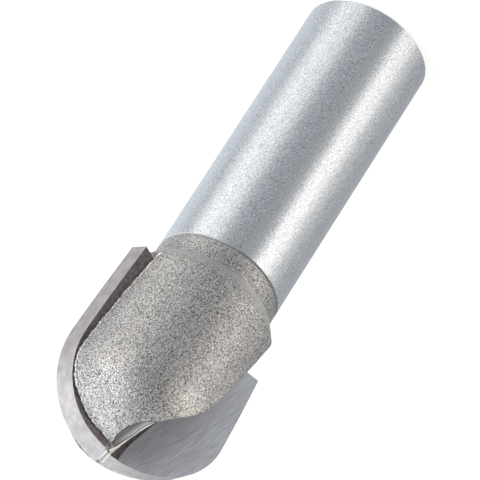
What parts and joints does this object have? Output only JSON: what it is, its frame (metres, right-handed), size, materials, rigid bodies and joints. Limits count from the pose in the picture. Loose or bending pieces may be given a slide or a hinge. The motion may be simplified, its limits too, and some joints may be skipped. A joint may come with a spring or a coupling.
{
  "type": "radius router bit",
  "caption": "Router bit with a plain round shank and a domed steel head whose brazed carbide tips cut round-bottomed grooves in wood.",
  "frame": {"origin": "centre of the flat end face of the shank, which the bit stands on", "axes": "+Z along the bit's axis from the shank's end to the nose; the cutting tips spread along X, with the rake face of carbide_tip_1 looking towards +Y"},
  "size_m": [0.018, 0.0162, 0.0555],
  "materials": {
    "blasted_steel": "blasted matt on the head and neck, ground satin on the shank",
    "tungsten_carbide": "fine ground, dark as-sintered strip behind the lands and along the root",
    "silver_braze": "dull, as flowed"
  },
  "bodies": {
    "root": {"steel_body": "blasted_steel", "carbide_tip_1": "tungsten_carbide", "carbide_tip_2": "tungsten_carbide", "braze_layer_1": "silver_braze", "braze_layer_2": "silver_braze"}
  },
  "joints": []
}
